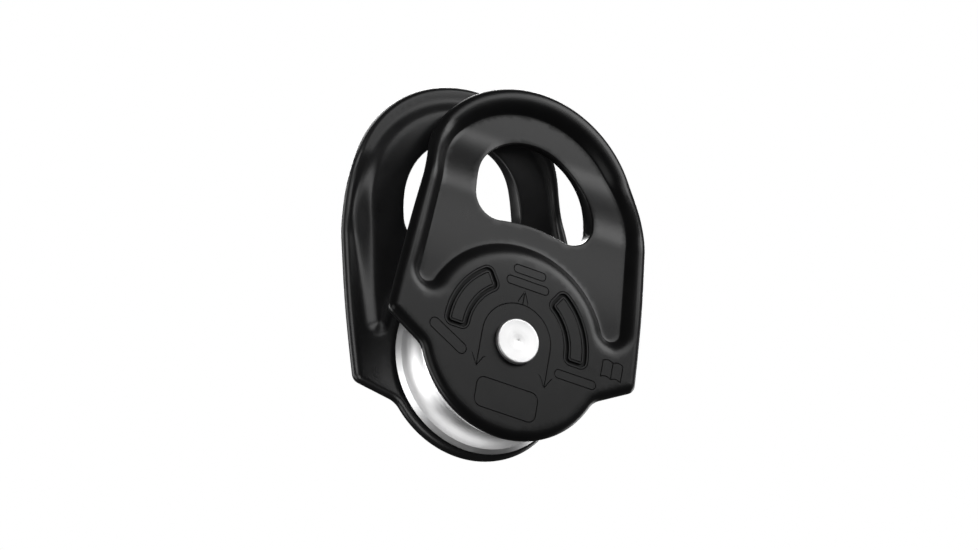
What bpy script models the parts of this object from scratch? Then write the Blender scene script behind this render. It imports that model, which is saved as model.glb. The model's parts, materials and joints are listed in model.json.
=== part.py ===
"""Single sheave block with two swinging side plates.

Frame: X to the right, -Y to the front, +Z up, metres. The axle lies along Y. The origin is on the
middle plane, where the crowns of the two eyes cross, so the axle is AXLE_DROP below it.
Outlines are worked out in millimetres in a plate's own axes: x to the right, y up from the centre
of its round lower part, and depth from the plate's outer face towards the middle of the block.
"""
import math

import bmesh
import bpy
from mathutils import Matrix, Vector, geometry

MM = 0.001

# ---- driving dimensions, millimetres and degrees ----
OVERALL_WIDTH = 25.8        # over the outer faces of the two side plates
PLATE_THICKNESS = 3.5
AXLE_OFFSET = 0.65          # of the axle below the centre of a plate's round lower part
SWING = 10.55               # each plate is swung this far from upright, in opposite senses
BEND_DEPTH = 8.0            # how far a plate's top leans in towards the other plate
PANEL_DEPTH = 2.1           # how far the panel around the eye is pressed in
PAD_INNER_LIMIT = 12.6      # deepest the inner pad comes, just short of the middle plane

SHEAVE_RADIUS = 25.0
TREAD_RADIUS = 19.0
SHEAVE_WIDTH = 16.0
ROPE_ARC = 6.3              # radius of the rope groove
SHEAVE_BORE = 13.15

AXLE_RADIUS = 4.5
HEAD_RADIUS = 6.1
HEAD_HEIGHT = 1.5

BEARING_WIDTH = 6.8
BEARING_CENTRE = 3.95       # distance of each bearing's middle from the middle plane
BEARING_BORE = 4.65
INNER_RING_RADIUS = 7.6
OUTER_RING_BORE = 10.6
BEARING_RADIUS = 13.0
TRACK_PLAY = 0.2            # between a ball and the grooves that it runs in
BALL_COUNT = 9
BALL_RADIUS = 1.95
BALL_PITCH = 9.1            # radius of the circle that the balls' centres lie on
CAGE_HALF_WIDTH = 2.6
CAGE_HALF_WALL = 0.45
POCKET_RADIUS = 2.25
SEAL_RADII = (7.8, 10.4)
SEAL_HALF_THICKNESS = 0.25
SEAL_INSET = 0.4            # from a seal's middle to the bearing's end
WASHER_RADIUS = 9.6
WASHER_HALF_THICKNESS = 0.7
SPACER_RADIUS = 7.2
SPACER_HALF_THICKNESS = 0.3
BUSH_RADII = (4.62, 5.2)
BUSH_INSET = 0.1            # how far a bush stops short of each face of its plate

HEAD_GAP = 0.15             # between a head of the axle and the plate under it
ROUND_SEGMENTS = 32
SHEAVE_SEGMENTS = 48

# ---- outlines, as circles (x, y, radius, turn); turn 1 bulges out, -1 is a hollow ----
DISC = (0.0, 0.0, 26.75, 1)
ARCH = (0.0, 41.75, 32.35, 1)
RIGHT_CORNER = (33.7, -1.1, 2.7, 1)
LEFT_CORNER = (-33.7, -1.1, 2.7, 1)
SIDE_RADIUS = 560.0
NOTCH_RADIUS = 6.0
NOTCH_ANGLE = 24.0          # below the horizontal

RIGHT_LOBE = (27.1, 11.9)
LEFT_LOBE = (-27.1, 10.9)
PANEL_ARCH = (0.0, 39.6)
RIGHT_PAD_LOBE = (27.6, 12.3)
LEFT_PAD_LOBE = (-27.6, 12.3)

EYE_HUMP = 33.25            # radius of the eye's lower edge, concentric with the lower part
EYE_CORNER = (10.7, 38.7, 6.7, 1)
EYE_CROWN = (0.0, 41.5, 17.1, 1)
EYE_SIDE_RADIUS = 28.6


def crown_crossing():
    """Height above the axle at which the crowns of the two swung eyes cross."""
    swing = math.radians(SWING)
    _, height, radius, _ = EYE_CROWN
    arm = height + AXLE_OFFSET
    aside, up = arm * math.sin(swing), arm * math.cos(swing)
    return up + math.sqrt(radius ** 2 - aside ** 2)


AXLE_DROP = round(crown_crossing(), 1)
HALF_WIDTH = OVERALL_WIDTH / 2
INNER_FACE = HALF_WIDTH - PLATE_THICKNESS
AXLE_CENTRE = Vector((0, 0, -AXLE_DROP)) * MM


# ---- curves ----
def smooth(start, end, value):
    """A smooth step from 0 at start to 1 at end."""
    t = min(max((value - start) / (end - start), 0.0), 1.0)
    return t * t * (3 - 2 * t)


def bridging_circle(first, second, radius):
    """The circle of that radius which holds two bulging circles and touches both."""
    reach_a, reach_b = radius - first[2], radius - second[2]
    dx, dy = second[0] - first[0], second[1] - first[1]
    length = math.hypot(dx, dy)
    along = (reach_a ** 2 - reach_b ** 2 + length ** 2) / (2 * length)
    aside = math.sqrt(reach_a ** 2 - along ** 2)
    return (first[0] + (dx * along - dy * aside) / length,
            first[1] + (dy * along + dx * aside) / length, radius, 1)


def belt(circles, inset=0.0, arc_step=2.6, line_step=5.0):
    """Points of the closed outline that runs round the circles on their common tangents."""
    signed = [(x, y, turn * (radius - turn * inset)) for x, y, radius, turn in circles]
    headings = []
    for (x0, y0, r0), (x1, y1, r1) in zip(signed, signed[1:] + signed[:1]):
        length = math.hypot(x1 - x0, y1 - y0)
        lean = math.acos(max(-1.0, min(1.0, (r1 - r0) / length)))
        headings.append(math.atan2(y1 - y0, x1 - x0) + lean)
    points = []
    for index, (x, y, radius) in enumerate(signed):
        start, end = headings[index - 1], headings[index]
        sweep = (end - start) % (2 * math.pi) if radius > 0 else -((start - end) % (2 * math.pi))
        if abs(sweep) > 2 * math.pi - 1e-6:
            sweep = 0.0
        steps = max(1, round(abs(sweep * radius) / arc_step), round(abs(sweep) / 0.6))
        arc = [(x - radius * math.cos(start + sweep * k / steps),
                y - radius * math.sin(start + sweep * k / steps)) for k in range(steps + 1)]
        if points:
            points += between(points[-1], arc[0], line_step)
        points += arc
    points += between(points[-1], points[0], line_step)
    return drop_repeats(points)


def between(start, end, step):
    """Points strictly between two others, about a step apart."""
    count = int(math.dist(start, end) / step)
    return [tuple(a + (b - a) * k / (count + 1) for a, b in zip(start, end))
            for k in range(1, count + 1)]


def drop_repeats(points):
    """The same closed outline without points that fall on each other."""
    return [p for k, p in enumerate(points) if math.dist(p, points[k - 1]) > 0.05]


def circle(radius, count=ROUND_SEGMENTS):
    return [(radius * math.cos(2 * math.pi * k / count), radius * math.sin(2 * math.pi * k / count))
            for k in range(count)]


def distance_to(outline, point):
    """Distance from a point to a closed outline, negative inside it."""
    x, y = point
    nearest, inside = math.inf, False
    for (x0, y0), (x1, y1) in zip(outline, outline[1:] + outline[:1]):
        dx, dy = x1 - x0, y1 - y0
        t = min(max(((x - x0) * dx + (y - y0) * dy) / (dx * dx + dy * dy), 0.0), 1.0)
        nearest = min(nearest, math.hypot(x - x0 - t * dx, y - y0 - t * dy))
        if (y0 > y) != (y1 > y) and x < x0 + (y - y0) / (y1 - y0) * dx:
            inside = not inside
    return -nearest if inside else nearest


# ---- the side plate ----
def notch(side):
    """The hollow between the round bottom of a plate and its corner on that side."""
    reach = DISC[2] + NOTCH_RADIUS
    turn = math.radians(NOTCH_ANGLE)
    return (side * reach * math.cos(turn), -reach * math.sin(turn), NOTCH_RADIUS, -1)


def plate_circles():
    return [DISC, notch(1), RIGHT_CORNER,
            bridging_circle(RIGHT_CORNER, ARCH, SIDE_RADIUS), ARCH,
            bridging_circle(ARCH, LEFT_CORNER, SIDE_RADIUS), LEFT_CORNER, notch(-1)]


def panel_circles(lower_arc, arch_radius, *lobe_centres):
    """The panel around the eye: concentric with the lower part, with a lobe on each side."""
    right, left = [(x, y, math.hypot(x, y) - lower_arc, 1) for x, y in lobe_centres]
    return [(0.0, 0.0, lower_arc, -1), right, (*PANEL_ARCH, arch_radius, 1), left]


def eye_circles():
    left_corner = (-EYE_CORNER[0], *EYE_CORNER[1:])
    return [(0.0, 0.0, EYE_HUMP, -1), EYE_CORNER,
            bridging_circle(EYE_CORNER, EYE_CROWN, EYE_SIDE_RADIUS), EYE_CROWN,
            bridging_circle(EYE_CROWN, left_corner, EYE_SIDE_RADIUS), left_corner]


EDGE_ROUND = PLATE_THICKNESS / 2
OUTER_EDGE_WIDTH = 2.5      # over which the outer face falls away to the edge
ON_EDGE = 0.001             # a point this close to an outline lies on it
EYE_ROUND = 0.6
WALL_WIDTH = 4.0            # of the slope from the raised rim down to the panel
ARC_WALL_WIDTH = 4.6        # the same beside the round lower part
PAD_WALL_WIDTH = 4.6        # of the slope from the inner face up to the pad
PAD_START_DEPTH = 5.5       # of the pad's lower end; it deepens to PAD_INNER_LIMIT
PLATE_BORE = 5.35

PANEL_CIRCLES = panel_circles(26.7, 27.5, RIGHT_LOBE, LEFT_LOBE)
PAD_CIRCLES = panel_circles(25.9, 30.8, RIGHT_PAD_LOBE, LEFT_PAD_LOBE)
OUTLINE = belt(plate_circles())
EYE = belt(eye_circles())
BORE = [(x, y - AXLE_OFFSET) for x, y in circle(PLATE_BORE)]
PANEL_FLOOR = belt(PANEL_CIRCLES)
PAD_FOOT = belt(PAD_CIRCLES)


def bend(y):
    """Depth of a plate's outer face below the flat round part, at a height above the axle."""
    return BEND_DEPTH * (0.08 * smooth(14, 40, y) + 0.82 * smooth(36, 57.8, y)
                         + 0.10 * smooth(50, 80, y))


def rounding(distance, radius):
    """How far a rounded edge falls away at a distance inside it."""
    if distance < ON_EDGE:
        return radius
    short = max(radius - distance, 0.0)
    return radius - math.sqrt(radius ** 2 - short ** 2)


def outer_depth(point):
    """Depth of the outer face: round edge, pressed-in panel, and the eye's small round edge."""
    near_arc = smooth(31.0, 28.5, math.hypot(*point))
    wall = WALL_WIDTH + (ARC_WALL_WIDTH - WALL_WIDTH) * near_arc
    from_floor = min(max(distance_to(PANEL_FLOOR, point) / wall, 0.0), 1.0)
    from_edge = -distance_to(OUTLINE, point) * EDGE_ROUND / OUTER_EDGE_WIDTH
    return (bend(point[1]) + rounding(from_edge, EDGE_ROUND)
            + PANEL_DEPTH * (1 - from_floor) ** 2
            + rounding(distance_to(EYE, point), EYE_ROUND))


def inner_depth(point):
    """Depth of the inner face: round edge, the raised pad, and the eye's small round edge."""
    edge = (bend(point[1]) + PLATE_THICKNESS
            - rounding(-distance_to(OUTLINE, point), EDGE_ROUND))
    pad = PAD_START_DEPTH + (PAD_INNER_LIMIT - PAD_START_DEPTH) * smooth(12, 66, point[1])
    rise = smooth(0.0, -PAD_WALL_WIDTH, distance_to(PAD_FOOT, point))
    return edge + (pad - edge) * rise - rounding(distance_to(EYE, point), EYE_ROUND)


FILL_STEP = 5.6             # between the points that fill the open parts of a sheet
FILL_CLEARANCE = 2.0        # how near one of those points may come to a ring


def sheet(mesh, rings, depth):
    """Fill the plate's outline, less its eye and bore, with triangles, and set their depths.

    Returns a lookup from a point of the outline to its vertex.
    """
    points, edges = [], []
    for ring in rings:
        first = len(points)
        points += ring
        edges += [(first + k, first + (k + 1) % len(ring)) for k in range(len(ring))]
    for column in range(-6, 7):
        for row in range(-4, 14):
            spot = (column * FILL_STEP, row * FILL_STEP)
            if min(abs(distance_to(ring, spot)) for ring in rings) > FILL_CLEARANCE:
                points.append(spot)
    flat, _, faces, _, _, _ = geometry.delaunay_2d_cdt(
        [Vector(p) for p in points], edges, [], 0, 1e-5)
    vertices = [mesh.verts.new((p.x, depth((p.x, p.y)), p.y)) for p in flat]
    for face in faces:
        middle = sum((flat[k] for k in face), Vector((0, 0))) / len(face)
        if (distance_to(OUTLINE, middle) < 0 and distance_to(EYE, middle) > 0
                and distance_to(BORE, middle) > 0):
            mesh.faces.new([vertices[k] for k in face])
    lookup = {(round(v.co.x, 3), round(v.co.z, 3)): v for v in vertices}
    for vertex in [v for v in vertices if not v.link_faces]:
        mesh.verts.remove(vertex)
    return {key: v for key, v in lookup.items() if v.is_valid}


def plate_mesh():
    """One side plate in its own axes: depth along +Y from the outer face, millimetres."""
    mesh = bmesh.new()
    part_way = 1 - math.cos(math.pi / 4)
    shared_rings = [OUTLINE, EYE, belt(eye_circles(), -EYE_ROUND), BORE]
    outer_rings = [*shared_rings, belt(plate_circles(), OUTER_EDGE_WIDTH * part_way),
                   belt(plate_circles(), OUTER_EDGE_WIDTH), PANEL_FLOOR,
                   belt(PANEL_CIRCLES, -WALL_WIDTH / 2), belt(PANEL_CIRCLES, -WALL_WIDTH)]
    inner_rings = [*shared_rings, belt(plate_circles(), EDGE_ROUND * part_way),
                   belt(plate_circles(), EDGE_ROUND), PAD_FOOT,
                   belt(PAD_CIRCLES, PAD_WALL_WIDTH / 3), belt(PAD_CIRCLES, PAD_WALL_WIDTH * 2 / 3)]
    outer = sheet(mesh, outer_rings, outer_depth)
    inner = sheet(mesh, inner_rings, inner_depth)
    for loop in (EYE, BORE):
        keys = [(round(x, 3), round(y, 3)) for x, y in loop]
        for key, after in zip(keys, keys[1:] + keys[:1]):
            mesh.faces.new([outer[key], outer[after], inner[after], inner[key]])
    bmesh.ops.remove_doubles(mesh, verts=mesh.verts, dist=ON_EDGE)
    return mesh


def side_plate(name, side, material):
    """A side plate, at the front for side -1 and at the rear for side 1."""
    mesh = plate_mesh()
    for vertex in mesh.verts:
        x, depth, z = vertex.co
        vertex.co = Vector((x, side * (HALF_WIDTH - depth), z + AXLE_OFFSET)) * MM
    plate = add_object(name, mesh, material, sharp_angle=50)
    plate.rotation_euler.y = math.radians(-side * SWING)
    return plate


# ---- turned pieces ----
def turned(name, profile, material, segments=ROUND_SEGMENTS, offset=0.0):
    """A ring or pin turned around the axle; profile is (radius, distance along Y) in order.

    A profile that starts and ends on radius 0 makes a solid pin, any other is closed into a ring.
    """
    mesh = bmesh.new()
    solid = profile[0][0] == 0 and profile[-1][0] == 0
    rows = []
    for radius, along in profile:
        if radius == 0:
            rows.append([mesh.verts.new((0, (along + offset) * MM, 0))] * segments)
            continue
        rows.append([mesh.verts.new((radius * math.cos(2 * math.pi * k / segments) * MM,
                                     (along + offset) * MM,
                                     radius * math.sin(2 * math.pi * k / segments) * MM))
                     for k in range(segments)])
    pairs = list(zip(rows, rows[1:]))
    if not solid:
        pairs.append((rows[-1], rows[0]))
    for row, following in pairs:
        for k in range(segments):
            corners = [row[k], row[(k + 1) % segments],
                       following[(k + 1) % segments], following[k]]
            mesh.faces.new(list(dict.fromkeys(corners)))
    return add_object(name, mesh, material)


def add_object(name, mesh, material, sharp_angle=35):
    """Turn a mesh into a named object whose origin is on the axle's axis."""
    bmesh.ops.recalc_face_normals(mesh, faces=mesh.faces)
    if mesh.calc_volume(signed=True) < 0:
        bmesh.ops.reverse_faces(mesh, faces=mesh.faces)
    data = bpy.data.meshes.new(name)
    mesh.to_mesh(data)
    mesh.free()
    data.shade_smooth()
    data.set_sharp_from_angle(angle=math.radians(sharp_angle))
    data.materials.append(material)
    made = bpy.data.objects.new(name, data)
    made.location = AXLE_CENTRE
    bpy.context.collection.objects.link(made)
    return made


def ring(name, bore, radius, half_thickness, material, middle=0.0, segments=ROUND_SEGMENTS):
    """A plain flat ring."""
    return turned(name, [(bore, -half_thickness), (radius, -half_thickness),
                         (radius, half_thickness), (bore, half_thickness)],
                  material, segments, middle)


def sheave(material):
    """The grooved wheel: rope groove, thin flanges, relieved sides and a bore with a middle rib."""
    half, rim = SHEAVE_WIDTH / 2, SHEAVE_RADIUS
    centre = TREAD_RADIUS + ROPE_ARC
    groove = [(centre - ROPE_ARC * math.cos(math.radians(a)), ROPE_ARC * math.sin(math.radians(a)))
              for a in range(-75, 76, 25)]
    relief, chamfer, hub, flange_root = 0.7, 0.2, 15.0, 23.4
    rib_radius, rib_half = 12.05, 0.3
    side = [(rim, half - 0.95), (rim, half - chamfer), (rim - chamfer, half), (flange_root, half),
            (flange_root - 0.6, half - relief), (hub + 0.6, half - relief), (hub, half),
            (SHEAVE_BORE, half), (SHEAVE_BORE, rib_half), (rib_radius, rib_half)]
    mirrored = [(radius, -along) for radius, along in reversed(side)]
    turned("sheave", mirrored + groove + side, material, SHEAVE_SEGMENTS)


def axle(material):
    """The riveted pin: a plain shank with a low domed head at each end."""
    seat = HALF_WIDTH + HEAD_GAP
    top = HALF_WIDTH + HEAD_HEIGHT
    half = [(AXLE_RADIUS, seat), (HEAD_RADIUS, seat), (HEAD_RADIUS, top - 0.45),
            (HEAD_RADIUS - 0.15, top - 0.18), (HEAD_RADIUS - 0.55, top), (0, top)]
    turned("axle", [(r, -y) for r, y in reversed(half)] + half, material)


def bearing(label, middle, ring_steel, cage_steel, ball_steel, seal_rubber):
    """One sealed ball bearing, centred at that distance along Y."""
    half = BEARING_WIDTH / 2
    track = BALL_RADIUS + TRACK_PLAY
    arc = [(track * math.cos(a), track * math.sin(a))
           for a in (math.radians(degrees) for degrees in range(-50, 51, 25))]
    inner_track = [(BALL_PITCH - out, along) for out, along in arc]
    outer_track = [(BALL_PITCH + out, along) for out, along in reversed(arc)]
    turned(f"{label}_inner_ring",
           [(BEARING_BORE, -half), (INNER_RING_RADIUS, -half), *inner_track,
            (INNER_RING_RADIUS, half), (BEARING_BORE, half)], ring_steel, offset=middle)
    turned(f"{label}_outer_ring",
           [(BEARING_RADIUS, half), (OUTER_RING_BORE, half), *outer_track,
            (OUTER_RING_BORE, -half), (BEARING_RADIUS, -half)], ring_steel, offset=middle)
    for side, face in ((-1, "front"), (1, "rear")):
        ring(f"{label}_{face}_seal", *SEAL_RADII, SEAL_HALF_THICKNESS,
             seal_rubber, middle + side * (half - SEAL_INSET))
    cage(f"{label}_ball_cage", middle, cage_steel)
    for number in range(BALL_COUNT):
        ball(f"{label}_ball_{number + 1}", middle, number, ball_steel)


def ball_place(number, middle):
    turn = 2 * math.pi * (number + 0.5) / BALL_COUNT
    return Vector((BALL_PITCH * math.cos(turn), middle, BALL_PITCH * math.sin(turn))) * MM


def ball(name, middle, number, material):
    mesh = bmesh.new()
    bmesh.ops.create_icosphere(mesh, subdivisions=2, radius=BALL_RADIUS * MM)
    bmesh.ops.translate(mesh, verts=mesh.verts, vec=ball_place(number, middle))
    add_object(name, mesh, material)


def cage(name, middle, material):
    """A ring with one round pocket through it for each ball."""
    hoop = ring(name, BALL_PITCH - CAGE_HALF_WALL, BALL_PITCH + CAGE_HALF_WALL, CAGE_HALF_WIDTH,
                material, middle, segments=3 * BALL_COUNT)
    drills = bmesh.new()
    for number in range(BALL_COUNT):
        place = ball_place(number, middle)
        outward = Vector((place.x, 0, place.z)).normalized()
        turn = outward.to_track_quat('Z', 'Y').to_matrix().to_4x4()
        bmesh.ops.create_cone(drills, cap_ends=True, segments=10, radius1=POCKET_RADIUS * MM,
                              radius2=POCKET_RADIUS * MM, depth=3 * MM,
                              matrix=Matrix.Translation(place) @ turn)
    cutter = add_object(f"{name}_cutter", drills, material)
    cutter.hide_render = True
    cutter.display_type = 'WIRE'
    pockets = hoop.modifiers.new("pockets", 'BOOLEAN')
    pockets.operation = 'DIFFERENCE'
    pockets.solver = 'EXACT'
    pockets.object = cutter


def paint(name, color, roughness, metallic):
    """A plain material with a base colour, roughness and metallic value."""
    material = bpy.data.materials.new(name)
    material.use_nodes = True
    shader = material.node_tree.nodes["Principled BSDF"]
    shader.inputs["Base Color"].default_value = (*color, 1)
    shader.inputs["Roughness"].default_value = roughness
    shader.inputs["Metallic"].default_value = metallic
    return material


def build():
    for old in list(bpy.data.objects):
        bpy.data.objects.remove(old, do_unlink=True)
    black = paint("black_anodised", (0.018, 0.018, 0.02), 0.38, 0.4)
    bright = paint("polished_aluminium", (0.86, 0.86, 0.87), 0.25, 1.0)
    rivet = paint("satin_steel", (0.78, 0.78, 0.78), 0.35, 1.0)
    bearing_steel = paint("bearing_steel", (0.62, 0.62, 0.64), 0.2, 1.0)
    cage_steel = paint("cage_steel", (0.5, 0.49, 0.46), 0.35, 1.0)
    ball_steel = paint("ball_steel", (0.7, 0.7, 0.72), 0.08, 1.0)
    seal_rubber = paint("seal_rubber", (0.02, 0.02, 0.02), 0.7, 0.0)
    bush_bronze = paint("bush_bronze", (0.42, 0.3, 0.16), 0.4, 1.0)
    washer_steel = paint("washer_steel", (0.6, 0.6, 0.6), 0.3, 1.0)

    axle(rivet)
    sheave(bright)
    for side, label in ((-1, "front"), (1, "rear")):
        side_plate(f"{label}_side_plate", side, black)
        ring(f"{label}_plate_bush", *BUSH_RADII, PLATE_THICKNESS / 2 - BUSH_INSET,
             bush_bronze, side * (HALF_WIDTH - PLATE_THICKNESS / 2))
        bearing_end = BEARING_CENTRE + BEARING_WIDTH / 2
        ring(f"{label}_thrust_washer", BEARING_BORE, WASHER_RADIUS, WASHER_HALF_THICKNESS,
             washer_steel, side * (INNER_FACE + bearing_end) / 2)
        bearing(f"{label}_bearing", side * BEARING_CENTRE,
                bearing_steel, cage_steel, ball_steel, seal_rubber)
    ring("bearing_spacer", BEARING_BORE, SPACER_RADIUS, SPACER_HALF_THICKNESS, washer_steel)


build()
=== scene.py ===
"""Looks of the single sheave block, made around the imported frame.

Frame: X to the right, -Y to the front, +Z up, metres; the axle lies along Y. Outlines are worked out
in millimetres in a side plate's own axes: x to the right, y up from the centre of its round lower
part, and depth from the plate's outer face towards the middle of the block.
"""
import json
import math

import bmesh
import bpy
import numpy as np
from mathutils import Matrix, Vector, geometry


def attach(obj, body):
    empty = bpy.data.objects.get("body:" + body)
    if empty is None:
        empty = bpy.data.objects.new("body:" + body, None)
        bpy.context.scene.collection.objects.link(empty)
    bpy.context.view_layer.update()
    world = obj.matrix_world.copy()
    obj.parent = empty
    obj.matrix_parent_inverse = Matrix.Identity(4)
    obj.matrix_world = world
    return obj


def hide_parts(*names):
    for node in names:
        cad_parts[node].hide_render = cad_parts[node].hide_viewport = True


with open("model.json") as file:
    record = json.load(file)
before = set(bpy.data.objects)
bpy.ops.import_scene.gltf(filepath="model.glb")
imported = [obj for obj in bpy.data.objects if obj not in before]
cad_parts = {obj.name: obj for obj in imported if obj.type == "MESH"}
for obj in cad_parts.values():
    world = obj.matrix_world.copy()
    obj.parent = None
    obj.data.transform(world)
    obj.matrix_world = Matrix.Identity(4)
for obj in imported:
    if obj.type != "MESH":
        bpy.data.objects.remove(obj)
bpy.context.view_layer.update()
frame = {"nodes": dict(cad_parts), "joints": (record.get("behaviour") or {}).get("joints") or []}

MM = 0.001
AXLE_CENTRE = Vector(frame["joints"][0]["pos_m"])

# ---- side plate, millimetres and degrees, as in the CAD ----
OVERALL_WIDTH = 25.8            # over the outer faces of both plates
PLATE_THICKNESS = 3.5
AXLE_OFFSET = 0.65              # of the axle below the centre of a plate's round lower part
SWING = 10.55                   # of each plate to its own side of upright
BEND_DEPTH = 8.0                # from the flat round part to the top
PANEL_DEPTH = 2.1               # of the panel that is pressed in around the eye
PAD_START_DEPTH = 5.5           # of the pad's face at its foot, beside the wheel
PAD_INNER_LIMIT = 12.6          # of the pad's face at its top, where the two plates nearly meet
PLATE_BORE = 5.35
HALF_WIDTH = OVERALL_WIDTH / 2

# Circles are (x, y, radius, 1 where the outline bulges or -1 where it is hollow).
DISC = (0.0, 0.0, 26.75, 1)
ARCH = (0.0, 41.75, 32.35, 1)
RIGHT_CORNER = (33.7, -1.1, 2.7, 1)
LEFT_CORNER = (-33.7, -1.1, 2.7, 1)
SIDE_RADIUS = 560.0
NOTCH_RADIUS = 6.0
NOTCH_ANGLE = 24.0
RIGHT_LOBE = (27.1, 11.9)
LEFT_LOBE = (-27.1, 10.9)
PANEL_ARCH = (0.0, 39.6)
RIGHT_PAD_LOBE = (27.6, 12.3)
LEFT_PAD_LOBE = (-27.6, 12.3)
EYE_HUMP = 33.25
RIGHT_EYE_CORNER = (10.7, 38.7, 6.7, 1)
LEFT_EYE_CORNER = (-10.7, 38.7, 6.7, 1)
EYE_CROWN = (0.0, 41.5, 17.1, 1)
EYE_SIDE_RADIUS = 28.6

EDGE_ROUND = PLATE_THICKNESS / 2
OUTER_EDGE_WIDTH = 2.5          # how far the rounded rim reaches into the outer face
EYE_ROUND = 0.5
WALL_WIDTH = 4.0                # of the slope around the panel's floor
ARC_WALL_WIDTH = 4.6            # of the same slope beside the round lower part
ARC_WALL_REACH = (28.5, 31.0)   # radii between which the slope changes from one to the other
FLOOR_FILLET = 0.5
PAD_WALL_WIDTH = 4.6            # of the slope up to the pad
PAD_RING_END = 4.0              # of the mesh lines on that slope; less than the pad's lobe radius
ON_EDGE = 0.001

# ---- engraving on a plate's outer face, millimetres ----
KIDNEY_RADII = (14.9, 20.2)     # of the groove's middle line
KIDNEY_END_ANGLE = 57.3
KIDNEY_FOOT = -1.0              # height of its lower end
KIDNEY_CORNER = 1.3
# A groove's shape: distances from its middle line, and the depth at each.
KIDNEY_GROOVE = ((0.36, 0.5), (0.5, 0.0))
LINE_GROOVE = ((0.0, 0.14), (0.15, 0.0))
HAIRLINE_OFFSET = 0.98          # of the thin lines along both sides of that groove
ARROW_RADIUS = 10.0

# ---- mesh spacing, millimetres ----
ARC_STEP = 0.7
LINE_STEP = 0.9
FILL_STEP = 1.15
ROW_HEIGHT = 0.87               # of the filling points' rows, in fill steps
FILL_COLUMNS = range(-34, 35)
FILL_ROWS = range(-30, 80)


# ---- curves ----
def smooth(start, end, value):
    """A smooth step from 0 at start to 1 at end."""
    t = np.clip((value - start) / (end - start), 0.0, 1.0)
    return t * t * (3 - 2 * t)


def soft_min(first, second, blend):
    """The smaller of two values, rounded off where they are within blend of each other."""
    near = np.maximum(blend - np.abs(first - second), 0.0) / blend
    return np.minimum(first, second) - near * near * blend / 4


def bridging_circle(first, second, radius):
    """The circle of that radius which holds two bulging circles and touches both."""
    reach_a, reach_b = radius - first[2], radius - second[2]
    dx, dy = second[0] - first[0], second[1] - first[1]
    length = math.hypot(dx, dy)
    along = (reach_a ** 2 - reach_b ** 2 + length ** 2) / (2 * length)
    aside = math.sqrt(reach_a ** 2 - along ** 2)
    return (first[0] + (dx * along - dy * aside) / length,
            first[1] + (dy * along + dx * aside) / length, radius, 1)


def belt(circles, inset=0.0, arc_step=ARC_STEP, line_step=LINE_STEP):
    """Points of the closed outline round the circles on their common tangents.

    Outlines with different insets have the same number of points, so they line up.
    """
    signed = [(x, y, turn * (radius - turn * inset)) for x, y, radius, turn in circles]
    headings = []
    for (x0, y0, r0), (x1, y1, r1) in zip(signed, signed[1:] + signed[:1]):
        length = math.hypot(x1 - x0, y1 - y0)
        lean = math.acos(max(-1.0, min(1.0, (r1 - r0) / length)))
        headings.append(math.atan2(y1 - y0, x1 - x0) + lean)
    points = []
    for index, (x, y, radius) in enumerate(signed):
        start, end = headings[index - 1], headings[index]
        sweep = (end - start) % (2 * math.pi) if radius > 0 else -((start - end) % (2 * math.pi))
        if abs(sweep) > 2 * math.pi - 1e-6:
            sweep = 0.0
        steps = max(2, round(abs(sweep) * circles[index][2] / arc_step), round(abs(sweep) / 0.16))
        arc = [(x - radius * math.cos(start + sweep * k / steps),
                y - radius * math.sin(start + sweep * k / steps)) for k in range(steps + 1)]
        if points:
            points += between(points[-1], arc[0], line_step)
        points += arc
    points += between(points[-1], points[0], line_step)
    return [p for k, p in enumerate(points) if math.dist(p, points[k - 1]) > 0.01]


def between(start, end, step):
    """Points strictly between two others, about a step apart."""
    count = int(round(math.dist(start, end), 3) / step)
    return [tuple(a + (b - a) * k / (count + 1) for a, b in zip(start, end))
            for k in range(1, count + 1)]


def distance_to(outline, points, closed=True):
    """Distances from points to an outline; negative inside it if it is closed."""
    starts = np.array(outline)
    ends = np.roll(starts, -1, axis=0)
    if not closed:
        starts, ends = starts[:-1], ends[:-1]
    x, y = points[:, 0], points[:, 1]
    nearest = np.full(len(points), np.inf)
    inside = np.zeros(len(points), bool)
    for (x0, y0), (x1, y1) in zip(starts, ends):
        dx, dy = x1 - x0, y1 - y0
        t = np.clip(((x - x0) * dx + (y - y0) * dy) / (dx * dx + dy * dy), 0.0, 1.0)
        nearest = np.minimum(nearest, np.hypot(x - x0 - t * dx, y - y0 - t * dy))
        if closed and y0 != y1:
            inside ^= ((y0 > y) != (y1 > y)) & (x < x0 + (y - y0) / (y1 - y0) * dx)
    return np.where(inside, -nearest, nearest)


# ---- outlines of the side plate ----
def notch(side):
    """The hollow between the round bottom of a plate and its corner on that side."""
    reach = DISC[2] + NOTCH_RADIUS
    turn = math.radians(NOTCH_ANGLE)
    return (side * reach * math.cos(turn), -reach * math.sin(turn), NOTCH_RADIUS, -1)


def panel_circles(lower_arc, arch_radius, *lobe_centres):
    """The panel around the eye: concentric with the lower part, with a lobe on each side."""
    right, left = [(x, y, math.hypot(x, y) - lower_arc, 1) for x, y in lobe_centres]
    return [(0.0, 0.0, lower_arc, -1), right, (*PANEL_ARCH, arch_radius, 1), left]


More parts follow.
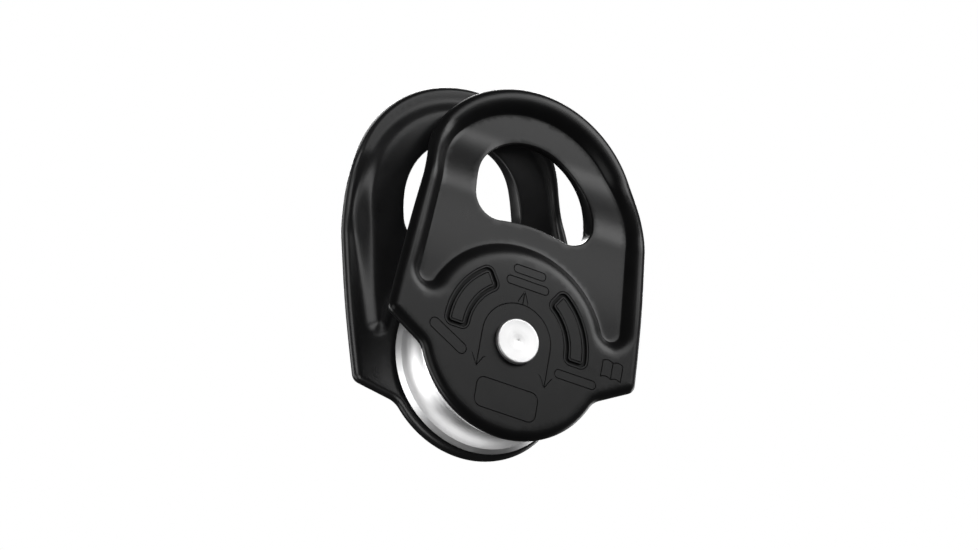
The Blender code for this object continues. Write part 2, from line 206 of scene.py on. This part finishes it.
PLATE_CIRCLES = [DISC, notch(1), RIGHT_CORNER,
                 bridging_circle(RIGHT_CORNER, ARCH, SIDE_RADIUS), ARCH,
                 bridging_circle(ARCH, LEFT_CORNER, SIDE_RADIUS), LEFT_CORNER, notch(-1)]
PANEL_CIRCLES = panel_circles(26.7, 27.5, RIGHT_LOBE, LEFT_LOBE)
PAD_CIRCLES = panel_circles(25.9, 30.8, RIGHT_PAD_LOBE, LEFT_PAD_LOBE)
EYE_CIRCLES = [(0.0, 0.0, EYE_HUMP, -1), RIGHT_EYE_CORNER,
               bridging_circle(RIGHT_EYE_CORNER, EYE_CROWN, EYE_SIDE_RADIUS), EYE_CROWN,
               bridging_circle(EYE_CROWN, LEFT_EYE_CORNER, EYE_SIDE_RADIUS), LEFT_EYE_CORNER]
OUTLINE = belt(PLATE_CIRCLES)
EYE = belt(EYE_CIRCLES)
PANEL_FLOOR = belt(PANEL_CIRCLES)
PAD_FOOT = belt(PAD_CIRCLES)
BORE = [(PLATE_BORE * math.cos(turn), PLATE_BORE * math.sin(turn) - AXLE_OFFSET)
        for turn in np.linspace(0, 2 * math.pi, 73)[:-1]]


# ---- engraving ----
def mirrored(outline):
    return [(-x, y) for x, y in outline]


def kidney_circles():
    """Middle line of the kidney-shaped groove on the right: a ring sector with round corners."""
    inner, outer = KIDNEY_RADII
    spots = []
    for reach in (outer - KIDNEY_CORNER, inner + KIDNEY_CORNER):
        turn = math.radians(KIDNEY_END_ANGLE) - math.asin(KIDNEY_CORNER / reach)
        spots.append((reach * math.cos(turn), reach * math.sin(turn), KIDNEY_CORNER, 1))
    low = [(reach, KIDNEY_FOOT + KIDNEY_CORNER, KIDNEY_CORNER, 1)
           for reach in (inner + KIDNEY_CORNER, outer - KIDNEY_CORNER)]
    return [(0.0, 0.0, outer, 1), *spots, (0.0, 0.0, inner, -1), *low]


def box_outline(x, y, width, height, corner, turn=0.0):
    """A rectangle with round corners, centred on a point and turned by degrees."""
    half_x, half_y = width / 2 - corner, height / 2 - corner
    c, s = math.cos(math.radians(turn)), math.sin(math.radians(turn))
    return [(x + a * c - b * s, y + a * s + b * c, corner, 1)
            for a, b in ((half_x, -half_y), (half_x, half_y), (-half_x, half_y), (-half_x, -half_y))]


def arrows():
    """The loop around the axle with an arrowhead at each end, and the small arrow above it."""
    foot, barb_x, barb_y = -10.3, 1.6, 2.8
    arc = [(ARROW_RADIUS * math.cos(a), ARROW_RADIUS * math.sin(a))
           for a in np.linspace(0, math.pi, 60)]
    loop = [(ARROW_RADIUS, y) for y in np.linspace(foot, -0.5, 15)] + arc
    loop += [(-ARROW_RADIUS, y) for y in np.linspace(-0.5, foot, 15)]
    lines = [loop]
    for x in (-ARROW_RADIUS, ARROW_RADIUS):
        for side in (-1, 1):
            lines.append([(x + side * barb_x * t, foot + barb_y * t) for t in np.linspace(0, 1, 6)])
    tip = 13.8
    lines.append([(0.0, y) for y in np.linspace(ARROW_RADIUS + 0.3, tip, 8)])
    for side in (-1, 1):
        lines.append([(side * 1.4 * t, tip - 3.0 * t) for t in np.linspace(0, 1, 6)])
    return lines


def book():
    """An open book, as two bulging pages that share a spine."""
    x, y, page, half = 28.4, 0.4, 3.0, 2.3
    bulge = [(t * page, 0.45 * math.sin(math.pi * t)) for t in np.linspace(0, 1, 8)]
    lines = [[(x, y + t) for t in np.linspace(-half, half, 8)]]
    for side in (-1, 1):
        lines.append([(x + side * a, y + half + b) for a, b in bulge])
        lines.append([(x + side * a, y - half + b) for a, b in bulge])
        lines.append([(x + side * page, y + t) for t in np.linspace(-half, half, 8)])
    return lines


def beside(line, offset, closed):
    """The line moved sideways by a distance."""
    points = np.array(line)
    if closed:
        heading = np.roll(points, -1, axis=0) - np.roll(points, 1, axis=0)
    else:
        heading = np.gradient(points, axis=0)
    heading /= np.linalg.norm(heading, axis=1)[:, None]
    side = np.stack([heading[:, 1], -heading[:, 0]], axis=1)
    return [tuple(p) for p in points + side * offset]


KIDNEYS = [belt(kidney_circles()), mirrored(belt(kidney_circles()))]
# Plain shapes: a box below the axle, and long narrow fields above and beside it.
CARTOUCHE = belt(box_outline(0.0, -16.75, 17.9, 8.2, 2.2))
FIELDS = [belt(box_outline(0.5, 19.4, 9.4, 2.3, 1.1)), belt(box_outline(0.5, 15.8, 12.4, 2.3, 1.1)),
          belt(box_outline(18.4, -5.2, 12.2, 2.4, 1.15)),
          belt(box_outline(-19.2, -5.0, 12.4, 3.0, 1.45, turn=-27.0))]
HAIRLINES = [beside(line, side * HAIRLINE_OFFSET, True) for line in KIDNEYS for side in (-1, 1)]
CLOSED_LINES = [CARTOUCHE, *FIELDS, *HAIRLINES]
OPEN_LINES = arrows() + book()


def groove(distance, shape):
    """Depth of a groove at a distance from its middle line."""
    return np.interp(distance, *shape)


def engraving(points):
    """Depth of the engraving at points of the outer face."""
    depth = np.zeros(len(points))
    for line in KIDNEYS:
        depth = np.maximum(depth, groove(np.abs(distance_to(line, points)), KIDNEY_GROOVE))
    for line in CLOSED_LINES:
        depth = np.maximum(depth, groove(np.abs(distance_to(line, points)), LINE_GROOVE))
    for line in OPEN_LINES:
        depth = np.maximum(depth, groove(distance_to(line, points, closed=False), LINE_GROOVE))
    return depth


def engraving_rings():
    """Lines along the edges of every groove: (points, closed)."""
    rings = []
    for line in KIDNEYS:
        rings += [(beside(line, side * offset, True), True)
                  for offset in KIDNEY_GROOVE[0] for side in (-1, 1)]
    half = LINE_GROOVE[0][-1]
    rings += [(beside(line, offset, True), True) for line in CLOSED_LINES for offset in (-half, 0, half)]
    rings += [(beside(line, offset, False), False) for line in OPEN_LINES for offset in (-half, 0, half)]
    return rings


# ---- depths of the side plate's two faces ----
def bend(y):
    """Depth of a plate's outer face below the flat round part, at a height above the axle."""
    return BEND_DEPTH * (0.08 * smooth(14, 40, y) + 0.82 * smooth(36, 57.8, y)
                         + 0.10 * smooth(50, 80, y))


def rounding(distance, radius):
    """How far a rounded edge falls away at a distance inside it."""
    short = np.clip(radius - distance, 0.0, radius)
    fall = radius - np.sqrt(radius ** 2 - short ** 2)
    return np.where(distance < ON_EDGE, radius, fall)


def outer_depth(points):
    """Depth of the outer face: round edge, pressed-in panel, the eye's edge and the engraving."""
    x, y = points[:, 0], points[:, 1]
    near_arc = smooth(ARC_WALL_REACH[1], ARC_WALL_REACH[0], np.hypot(x, y))
    width = WALL_WIDTH + (ARC_WALL_WIDTH - WALL_WIDTH) * near_arc
    from_floor = distance_to(PANEL_FLOOR, points) / width
    wall = np.where(from_floor < 0, 1 - 2 * from_floor, np.clip(1 - from_floor, 0, 1) ** 2)
    panel = soft_min(PANEL_DEPTH * wall, np.full(len(points), PANEL_DEPTH), FLOOR_FILLET)
    from_edge = -distance_to(OUTLINE, points) * EDGE_ROUND / OUTER_EDGE_WIDTH
    return (bend(y) + rounding(from_edge, EDGE_ROUND) + panel
            + rounding(distance_to(EYE, points), EYE_ROUND) + engraving(points))


def inner_depth(points):
    """Depth of the inner face: round edge, the raised pad, and the eye's edge."""
    y = points[:, 1]
    edge = bend(y) + PLATE_THICKNESS - rounding(-distance_to(OUTLINE, points), EDGE_ROUND)
    pad = PAD_START_DEPTH + (PAD_INNER_LIMIT - PAD_START_DEPTH) * smooth(12, 66, y)
    rise = smooth(0.0, -PAD_WALL_WIDTH, distance_to(PAD_FOOT, points))
    return edge + (pad - edge) * rise - rounding(distance_to(EYE, points), EYE_ROUND)


# ---- mesh of the side plate ----
def edge_insets(radius, count=7):
    """Distances inside a rounded edge at even turns of its quarter circle."""
    return [radius * (1 - math.cos(math.pi / 2 * k / (count - 1))) for k in range(count)]


def edge_rings(width):
    """Lines along the rounded edge of a face, from the outline inwards."""
    return [(belt(PLATE_CIRCLES, inset), True) for inset in edge_insets(width)[1:]]


def sheet(mesh, rings, depth, shared=None):
    """Fill the plate's outline, less its eye and bore, and set each point's depth.

    rings is a list of (points, closed), of which the first three are OUTLINE, EYE and BORE. Returns
    the vertices of those three. shared gives vertices to use for the first ring.
    """
    points, edges, starts = [], [], []
    for ring, closed in rings:
        first = len(points)
        starts.append(first)
        points += ring
        edges += [(first + k, first + (k + 1) % len(ring)) for k in range(len(ring) - (not closed))]
    spots = np.array([((column + 0.5 * (row % 2)) * FILL_STEP, row * FILL_STEP * ROW_HEIGHT)
                      for column in FILL_COLUMNS for row in FILL_ROWS])
    near = np.full(len(spots), np.inf)
    for ring, closed in rings:
        near = np.minimum(near, np.abs(distance_to(ring, spots, closed)))
    points += [tuple(p) for p in spots[near > 0.5 * FILL_STEP]]
    flat, _, faces, origins, _, _ = geometry.delaunay_2d_cdt(
        [Vector(p) for p in points], edges, [], 0, 1e-6)
    plane = np.array([(p.x, p.y) for p in flat])
    depths = depth(plane)
    middles = np.array([plane[list(face)].mean(axis=0) for face in faces])
    keep = ((distance_to(OUTLINE, middles) < 0) & (distance_to(EYE, middles) > 0)
            & (distance_to(BORE, middles) > 0))
    place = {origin: index for index, found in enumerate(origins) for origin in found}
    vertices = {}
    if shared:
        vertices = {place[k]: vertex for k, vertex in enumerate(shared)}
    for face in (f for f, kept in zip(faces, keep) if kept):
        for index in face:
            if index not in vertices:
                vertices[index] = mesh.verts.new((plane[index, 0], depths[index], plane[index, 1]))
        mesh.faces.new([vertices[index] for index in face])
    return [[vertices[place[starts[n] + k]] for k in range(len(rings[n][0]))] for n in range(3)]


def plate_mesh():
    """One side plate in its own axes: depth along +Y from the outer face, millimetres."""
    mesh = bmesh.new()
    shared_rings = [(OUTLINE, True), (EYE, True), (BORE, True)]
    shared_rings += [(belt(EYE_CIRCLES, -inset), True) for inset in edge_insets(EYE_ROUND, 5)[1:]]
    wall_steps = (-0.3, -0.15, 0.0, 0.15, 0.35, 0.7, 1.2, 1.8, 2.4, 3.2, WALL_WIDTH)
    pad_steps = [PAD_RING_END * k / 8 for k in range(9)]
    outer_rings = shared_rings + edge_rings(OUTER_EDGE_WIDTH)
    outer_rings += [(belt(PANEL_CIRCLES, -step), True) for step in wall_steps]
    inner_rings = shared_rings + edge_rings(EDGE_ROUND)
    inner_rings += [(belt(PAD_CIRCLES, step), True) for step in pad_steps]
    outer = sheet(mesh, outer_rings + engraving_rings(), outer_depth)
    inner = sheet(mesh, inner_rings, inner_depth, shared=outer[0])
    for near, far in zip(outer[1:], inner[1:]):
        for k in range(len(near)):
            mesh.faces.new([near[k - 1], near[k], far[k], far[k - 1]])
    give_kidneys_second_material(mesh)
    return mesh


def give_kidneys_second_material(mesh):
    """Put the faces inside the kidney-shaped grooves in the plate's second material slot."""
    middles = [face.calc_center_median() for face in mesh.faces]
    plane = np.array([(middle.x, middle.z) for middle in middles])
    aside = np.min([np.abs(distance_to(line, plane)) for line in KIDNEYS], axis=0)
    for face, middle, distance in zip(mesh.faces, middles, aside):
        if distance < KIDNEY_GROOVE[0][-1] and middle.y < PLATE_THICKNESS / 2:
            face.material_index = 1


def add_piece(name, mesh, material, body, nodes, sharp_angle=40):
    """Turn a mesh into a named piece that rides on a body and stands for CAD nodes."""
    bmesh.ops.recalc_face_normals(mesh, faces=mesh.faces)
    if mesh.calc_volume(signed=True) < 0:
        bmesh.ops.reverse_faces(mesh, faces=mesh.faces)
    data = bpy.data.meshes.new(name)
    mesh.to_mesh(data)
    mesh.free()
    data.shade_smooth()
    data.set_sharp_from_angle(angle=math.radians(sharp_angle))
    data.materials.append(material)
    made = bpy.data.objects.new(name, data)
    bpy.context.scene.collection.objects.link(made)
    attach(made, body)
    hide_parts(*nodes)
    return made


def side_plate(label, side, material, groove_material):
    """A side plate, at the front for side -1 and at the rear for side 1."""
    mesh = plate_mesh()
    for vertex in mesh.verts:
        x, depth, z = vertex.co
        vertex.co = Vector((x, side * (HALF_WIDTH - depth), z + AXLE_OFFSET)) * MM
    swing = Matrix.Rotation(math.radians(-side * SWING), 4, 'Y')
    mesh.transform(Matrix.Translation(AXLE_CENTRE) @ swing)
    made = add_piece(f"{label}_plate_shell", mesh, material, f"{label}_plate",
                     [f"{label}_side_plate"])
    made.data.materials.append(groove_material)
    return made


# ---- turned pieces ----
def turned(profile, segments):
    """A solid turned around the axle; profile is (radius, distance along Y) in millimetres."""
    mesh = bmesh.new()
    rows = []
    for radius, along in profile:
        if radius == 0:
            rows.append([mesh.verts.new((0, along, 0))] * segments)
            continue
        rows.append([mesh.verts.new((radius * math.cos(2 * math.pi * k / segments), along,
                                     radius * math.sin(2 * math.pi * k / segments)))
                     for k in range(segments)])
    pairs = list(zip(rows, rows[1:]))
    if profile[0][0] > 0:
        pairs.append((rows[-1], rows[0]))
    for row, following in pairs:
        for k in range(segments):
            after = (k + 1) % segments
            corners = [row[k], row[after], following[after], following[k]]
            mesh.faces.new(list(dict.fromkeys(corners)))
    mesh.transform(Matrix.Translation(AXLE_CENTRE) @ Matrix.Scale(MM, 4))
    return mesh


def corner(radius_at, along_at, fillet, start, end, steps=5):
    """Points of a fillet with its centre at (radius_at, along_at), from a start to an end angle."""
    return [(radius_at + fillet * math.cos(math.radians(start + (end - start) * k / steps)),
             along_at + fillet * math.sin(math.radians(start + (end - start) * k / steps)))
            for k in range(steps + 1)]


def sheave(material):
    """The grooved wheel with rounded flange rims, relieved sides and a bore with a middle rib."""
    half, rim, rope_arc, tread = 8.0, 25.0, 6.3, 19.0
    centre = tread + rope_arc
    groove_arc = [(centre - rope_arc * math.cos(math.radians(a)), rope_arc * math.sin(math.radians(a)))
                  for a in range(-78, 79, 6)]
    # From the rim inwards: the flange, the relief in its side, the hub, the bore and its rib.
    side = corner(rim - 0.45, half - 0.5, 0.45, 10, 90, 6)
    side += [(23.5, half), (23.3, half - 0.08), (22.85, half - 0.62), (22.7, half - 0.7),
             (15.7, half - 0.7), (15.55, half - 0.62), (15.1, half - 0.08), (14.9, half),
             (13.5, half), (13.15, half - 0.35), (13.15, 0.3), (12.05, 0.3)]
    left = [(radius, -along) for radius, along in reversed(side)]
    return add_piece("sheave_wheel_fine", turned(left + groove_arc + side, 192), material,
                     "sheave_wheel", ["sheave"], sharp_angle=30)


def axle(material):
    """The riveted pin: a plain shank, and low heads with a rounded rim and a centre mark."""
    seat, top, head, shank = HALF_WIDTH + 0.15, HALF_WIDTH + 1.5, 6.1, 4.5
    # From the shank outwards: the seat, the head's rim, its face and the centre mark.
    half = [(shank, seat), (head - 0.15, seat), (head, seat + 0.12)]
    half += corner(head - 0.5, top - 0.45, 0.5, 0, 70, 6)
    half += [(head - 0.62, top), (3.0, top), (0.55, top), (0.4, top - 0.03), (0.0, top - 0.14)]
    profile = [(r, -y) for r, y in reversed(half)] + half
    return add_piece("axle_pin", turned(profile, 144), material, "axle_core", ["axle"],
                     sharp_angle=30)


# ---- materials ----
class Nodes:
    """Short calls that add nodes to one material and link them."""

    def __init__(self, name):
        self.material = bpy.data.materials.new(name)
        self.material.use_nodes = True
        self.tree = self.material.node_tree
        self.shader = self.tree.nodes["Principled BSDF"]
        self.place = self.add("ShaderNodeTexCoord").outputs["Object"]

    def add(self, kind, **settings):
        node = self.tree.nodes.new(kind)
        for key, value in settings.items():
            if hasattr(node, key):
                setattr(node, key, value)
            else:
                node.inputs[key.replace("_", " ")].default_value = value
        return node

    def link(self, output, target):
        self.tree.links.new(output, target)

    def noise(self, scale, detail=3.0, vector=None):
        node = self.add("ShaderNodeTexNoise")
        node.inputs["Scale"].default_value = scale
        node.inputs["Detail"].default_value = detail
        self.link(vector or self.place, node.inputs["Vector"])
        return node.outputs["Fac"]

    def ramp(self, value, low, high, start=0.3, end=0.7):
        """Map a value from start...end to low...high, which are numbers."""
        node = self.add("ShaderNodeMapRange")
        for name, number in (("From Min", start), ("From Max", end), ("To Min", low), ("To Max", high)):
            node.inputs[name].default_value = number
        self.link(value, node.inputs["Value"])
        return node.outputs["Result"]

    def mix(self, factor, first, second):
        """A colour between two colours."""
        node = self.add("ShaderNodeMix", data_type='RGBA')
        node.inputs[6].default_value = (*first, 1)
        node.inputs[7].default_value = (*second, 1)
        self.link(factor, node.inputs[0])
        return node.outputs[2]

    def math(self, operation, first, second):
        node = self.add("ShaderNodeMath", operation=operation)
        for slot, value in enumerate((first, second)):
            if isinstance(value, (int, float)):
                node.inputs[slot].default_value = value
            else:
                self.link(value, node.inputs[slot])
        return node.outputs[0]

    def bump(self, layers):
        """Chain bumps from (height, distance in metres, strength)."""
        normal = None
        for height, distance, strength in layers:
            node = self.add("ShaderNodeBump")
            node.inputs["Distance"].default_value = distance
            node.inputs["Strength"].default_value = strength
            self.link(height, node.inputs["Height"])
            if normal:
                self.link(normal, node.inputs["Normal"])
            normal = node.outputs["Normal"]
        self.link(normal, self.shader.inputs["Normal"])

    def turned_place(self):
        """Coordinates that change along the axle and outwards, but not around it."""
        split = self.add("ShaderNodeSeparateXYZ")
        self.link(self.place, split.inputs[0])
        up = self.math('SUBTRACT', split.outputs["Z"], AXLE_CENTRE.z)
        square = self.math('ADD', self.math('MULTIPLY', split.outputs["X"], split.outputs["X"]),
                           self.math('MULTIPLY', up, up))
        join = self.add("ShaderNodeCombineXYZ")
        self.link(self.math('SQRT', square, 0.0), join.inputs["X"])
        self.link(split.outputs["Y"], join.inputs["Y"])
        return join.outputs[0]


def anodised(name, smoothest, roughest, specular):
    """Forged aluminium, shot-blasted and anodised black: satin, with a very fine grain."""
    nodes = Nodes(name)
    grain, cloud = nodes.noise(5200, 2.0), nodes.noise(160, 4.0)
    nodes.link(nodes.mix(nodes.ramp(cloud, 0, 1), (0.007, 0.007, 0.0075), (0.0095, 0.0095, 0.01)),
               nodes.shader.inputs["Base Color"])
    nodes.link(nodes.ramp(nodes.math('ADD', nodes.math('MULTIPLY', cloud, 0.6),
                                     nodes.math('MULTIPLY', grain, 0.4)), smoothest, roughest),
               nodes.shader.inputs["Roughness"])
    nodes.shader.inputs["Metallic"].default_value = 0.0
    nodes.shader.inputs["Specular IOR Level"].default_value = specular
    nodes.bump([(grain, 0.00001, 0.25), (nodes.noise(420, 3.0), 0.00003, 0.15)])
    return nodes.material


def turned_metal(name, dark, light, roughness, line_scale=9000, line_depth=0.000004):
    """Metal turned on a lathe: fine rings around the axle, brighter and duller in turn."""
    nodes = Nodes(name)
    rings = nodes.noise(line_scale, 2.0, nodes.turned_place())
    broad = nodes.noise(1500, 3.0, nodes.turned_place())
    cloud = nodes.noise(240, 4.0)
    nodes.link(nodes.mix(nodes.ramp(broad, 0, 1), dark, light), nodes.shader.inputs["Base Color"])
    nodes.link(nodes.ramp(nodes.math('ADD', nodes.math('MULTIPLY', rings, 0.6),
                                     nodes.math('MULTIPLY', cloud, 0.4)),
                          roughness * 0.8, roughness * 1.25), nodes.shader.inputs["Roughness"])
    nodes.shader.inputs["Metallic"].default_value = 1.0
    nodes.bump([(rings, line_depth, 0.3)])
    return nodes.material


# ---- surroundings ----
TARGET = AXLE_CENTRE + Vector((-8.09, -13.33, 17.1)) * MM
CAMERA_AZIMUTH, CAMERA_ELEVATION = -26.51, -17.72
CAMERA_DISTANCE = 1.174
CAMERA_LENS = 165.95
FLOOR_Z = -1.3
LIGHT_AIM_HEIGHT = -0.03
WORLD_LIGHT = 0.04
FLOOR_LIGHT = 3.3
FLOOR_LIGHT_ANGLE = 20


def direction(azimuth, elevation):
    """From the block outwards; azimuth 0 is the front and 90 the right, in degrees."""
    a, e = math.radians(azimuth), math.radians(elevation)
    return Vector((math.sin(a) * math.cos(e), -math.cos(a) * math.cos(e), math.sin(e)))


def camera():
    data = bpy.data.cameras.new("camera")
    data.lens = CAMERA_LENS
    data.sensor_width = 36
    made = bpy.data.objects.new("camera", data)
    back = direction(CAMERA_AZIMUTH, CAMERA_ELEVATION)
    made.location = TARGET + back * CAMERA_DISTANCE
    made.rotation_euler = back.to_track_quat('Z', 'Y').to_euler()
    bpy.context.scene.collection.objects.link(made)
    bpy.context.scene.camera = made


def soft_light(name, azimuth, elevation, power, radius=0.4, distance=1.3):
    """A round area light aimed at the block; it isn't seen by the camera itself."""
    data = bpy.data.lights.new(name, 'AREA')
    data.shape = 'DISK'
    data.size = 2 * radius
    data.energy = power
    made = bpy.data.objects.new(name, data)
    out = direction(azimuth, elevation)
    made.location = Vector((0, 0, LIGHT_AIM_HEIGHT)) + out * distance
    made.rotation_euler = out.to_track_quat('Z', 'Y').to_euler()
    made.visible_camera = False
    bpy.context.scene.collection.objects.link(made)
    return made


def light_only(light, piece):
    """Let a light reach one object alone."""
    reached = bpy.data.collections.new("reached_by_" + light.name)
    reached.objects.link(piece)
    light.light_linking.receiver_collection = reached


def backdrop():
    """A dim white world that the camera itself sees as plain white."""
    world = bpy.data.worlds.new("studio")
    bpy.context.scene.world = world
    world.use_nodes = True
    tree = world.node_tree
    light = tree.nodes["Background"]
    light.inputs["Color"].default_value = (1, 1, 1, 1)
    light.inputs["Strength"].default_value = WORLD_LIGHT
    seen = tree.nodes.new("ShaderNodeBackground")
    seen.inputs["Color"].default_value = (1, 1, 1, 1)
    choose = tree.nodes.new("ShaderNodeMixShader")
    path = tree.nodes.new("ShaderNodeLightPath")
    tree.links.new(path.outputs["Is Camera Ray"], choose.inputs[0])
    tree.links.new(light.outputs[0], choose.inputs[1])
    tree.links.new(seen.outputs[0], choose.inputs[2])
    tree.links.new(choose.outputs[0], tree.nodes["World Output"].inputs["Surface"])


def floor():
    """A pale floor with a lamp of its own; it throws no light back onto the block."""
    plane = bmesh.new()
    bmesh.ops.create_grid(plane, x_segments=2, y_segments=2, size=6.0)
    data = bpy.data.meshes.new("floor")
    plane.to_mesh(data)
    plane.free()
    ground = bpy.data.objects.new("floor", data)
    ground.location.z = FLOOR_Z
    pale = Nodes("pale_floor")
    pale.link(pale.mix(pale.noise(3, 2.0), (0.78, 0.78, 0.78), (0.82, 0.82, 0.82)),
              pale.shader.inputs["Base Color"])
    pale.shader.inputs["Roughness"].default_value = 0.8
    data.materials.append(pale.material)
    bpy.context.scene.collection.objects.link(ground)
    ground.visible_diffuse = False
    ground.visible_glossy = False
    overhead = bpy.data.lights.new("floor_light", 'SUN')
    overhead.energy = FLOOR_LIGHT
    overhead.angle = math.radians(FLOOR_LIGHT_ANGLE)
    above = bpy.data.objects.new("floor_light", overhead)
    bpy.context.scene.collection.objects.link(above)
    light_only(above, ground)


def lamps(rear, wheel, pin):
    """Soft lamps all round, and some for one piece alone; angles in degrees and power in watts."""
    soft_light("front_key", 20, 32, 2.4)
    soft_light("right_key", 54, 32, 4.6)
    soft_light("back_right_rim", 158, 24, 14.0)
    soft_light("right_rim", 108, -5, 4.0)
    soft_light("top_rim", 154, 48, 3.5)
    soft_light("back_left_rim", 240, 0, 5.0)
    soft_light("low_left", 262, -30, 3.0)
    soft_light("left_front", 312, -12, 1.2)
    light_only(soft_light("rear_plate_top", 215, 55, 5.0), rear)
    light_only(soft_light("rear_plate_side", 313, 16, 4.0), rear)
    light_only(soft_light("rear_plate_low", 333, -34, 4.0), rear)
    light_only(soft_light("sheave_fill", 5, -35, 4.0, radius=0.6), wheel)
    light_only(soft_light("sheave_side", 300, -12, 7.0, radius=0.6), wheel)
    light_only(soft_light("axle_side", 312, -12, 4.0), pin)
    light_only(soft_light("axle_face", 20, 10, 1.4), pin)


def rubber():
    """Moulded seal rubber: near black, with a fine grain."""
    nodes = Nodes("seal_rubber")
    grain, cloud = nodes.noise(3000, 3.0), nodes.noise(300, 3.0)
    nodes.link(nodes.mix(nodes.ramp(cloud, 0, 1), (0.012, 0.012, 0.012), (0.03, 0.03, 0.03)),
               nodes.shader.inputs["Base Color"])
    nodes.link(nodes.ramp(grain, 0.55, 0.75), nodes.shader.inputs["Roughness"])
    nodes.bump([(grain, 0.00002, 0.3)])
    return nodes.material


def paint_cad_nodes():
    """Finishes for the CAD pieces that stay, chosen by a word in their names."""
    finishes = {
        "cage": turned_metal("pressed_cage_steel", (0.34, 0.33, 0.31), (0.48, 0.47, 0.44), 0.38),
        "ball": turned_metal("polished_ball_steel", (0.62, 0.62, 0.64), (0.72, 0.72, 0.73), 0.06),
        "seal": rubber(),
        "bush": turned_metal("bush_bronze", (0.36, 0.24, 0.12), (0.5, 0.35, 0.19), 0.35),
        "washer": turned_metal("ground_washer_steel", (0.5, 0.5, 0.5), (0.62, 0.62, 0.62), 0.3),
        "spacer": turned_metal("spacer_steel", (0.42, 0.42, 0.43), (0.54, 0.54, 0.55), 0.33),
        "ring": turned_metal("ground_bearing_steel", (0.5, 0.5, 0.52), (0.64, 0.64, 0.66), 0.18)}
    for name, node in frame["nodes"].items():
        if node.hide_render:
            continue
        finish = next(finishes[word] for word in finishes if word in name)
        node.data.materials.clear()
        node.data.materials.append(finish)


camera()
black = anodised("black_anodised_forging", 0.27, 0.34, 0.5)
matte = anodised("matte_black_groove", 0.5, 0.6, 0.3)
side_plate("front", -1, black, matte)
rear = side_plate("rear", 1, black, matte)
wheel = sheave(turned_metal("turned_aluminium", (0.9, 0.9, 0.905), (0.95, 0.95, 0.95), 0.42))
pin = axle(turned_metal("turned_rivet_steel", (0.88, 0.88, 0.88), (0.93, 0.93, 0.93), 0.45,
                        line_depth=0.000002))
paint_cad_nodes()
bpy.context.scene.view_settings.view_transform = 'Standard'
backdrop()
floor()
lamps(rear, wheel, pin)
